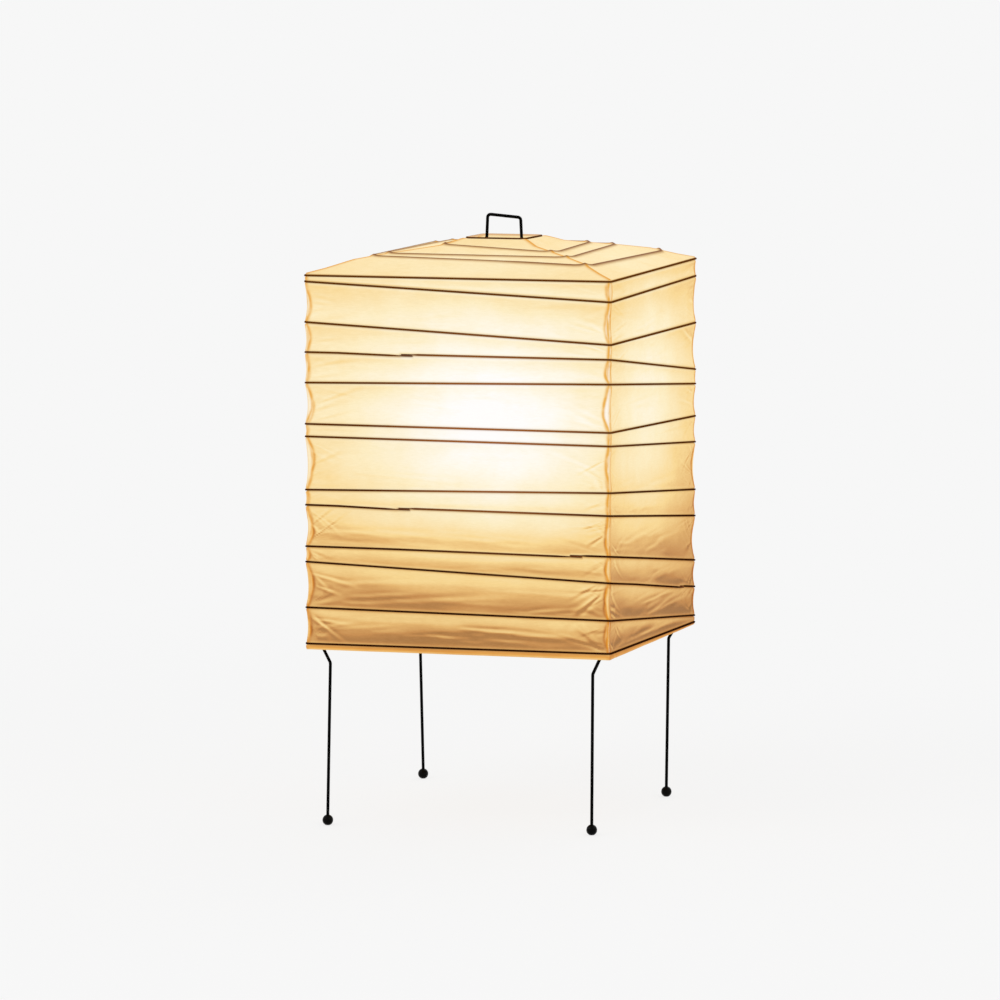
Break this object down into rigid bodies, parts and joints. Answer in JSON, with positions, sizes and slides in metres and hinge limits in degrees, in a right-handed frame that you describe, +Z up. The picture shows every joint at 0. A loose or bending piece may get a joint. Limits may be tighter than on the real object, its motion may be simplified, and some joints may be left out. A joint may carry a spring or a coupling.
{
  "type": "paper table lamp",
  "caption": "Square paper table lamp: tall translucent shade on thin uneven ribs with a low roof and wire handle, lit from inside, standing on thin wire legs with ball feet.",
  "frame": {"origin": "on the floor, under the middle of the shade", "axes": "+Z up, +X to the right seen from the front, -Y to the front"},
  "size_m": [0.302, 0.302, 0.5769],
  "materials": {
    "paper": "matte",
    "rib": "satin",
    "wire": "satin",
    "foot": "gloss",
    "steel": "satin",
    "holder": "matte",
    "ceramic": "satin",
    "brass": "satin",
    "opal_glass": "satin"
  },
  "bodies": {
    "frame": {"leg_front_left": "wire", "leg_front_right": "wire", "leg_back_right": "wire", "leg_back_left": "wire", "foot_front_left": "foot", "foot_front_right": "foot", "foot_back_right": "foot", "foot_back_left": "foot", "hub_plate": "steel", "stretcher_wire": "wire", "riser_tube": "steel", "nut_lower": "steel", "nut_upper": "steel", "cord_bushing": "holder", "holder_cap": "holder", "holder_shell": "holder", "holder_insulator": "ceramic", "holder_screw_shell": "brass", "holder_contact": "brass"},
    "shade": {"paper_wall_front": "paper", "paper_wall_right": "paper", "paper_wall_back": "paper", "paper_wall_left": "paper", "paper_roof_front": "paper", "paper_roof_right": "paper", "paper_roof_back": "paper", "paper_roof_left": "paper", "rib_eave": "rib", "rib_02": "rib", "rib_03": "rib", "rib_04": "rib", "rib_05": "rib", "rib_06": "rib", "rib_07": "rib", "rib_08": "rib", "rib_09": "rib", "rib_10": "rib", "rib_11": "rib", "rib_12": "rib", "rib_bottom": "rib", "roof_rib_1": "rib", "roof_rib_2": "rib", "roof_rib_3": "rib", "top_rim": "wire"},
    "bulb_tip": {"bulb_contact": "brass"},
    "bulb": {"bulb_glass": "opal_glass", "bulb_cap": "steel", "bulb_insulator": "ceramic"}
  },
  "joints": [
    {"name": "shade_lift", "type": "slide", "parent": "frame", "child": "shade", "axis": [0, 0, 1], "range_m": [0, 0.42]},
    {"name": "bulb_rise", "type": "slide", "parent": "frame", "child": "bulb_tip", "axis": [0, 0, 1], "range_m": [0, 0.0182]},
    {"name": "bulb_turn", "type": "hinge", "parent": "bulb_tip", "child": "bulb", "pos_m": [0, 0, 0.3], "axis": [0, 0, 1], "range_deg": [0, 1800]}
  ],
  "couplings": [
    {"joint": "bulb_rise", "follows": "bulb_turn", "m_per_rad": 0.00057758}
  ]
}
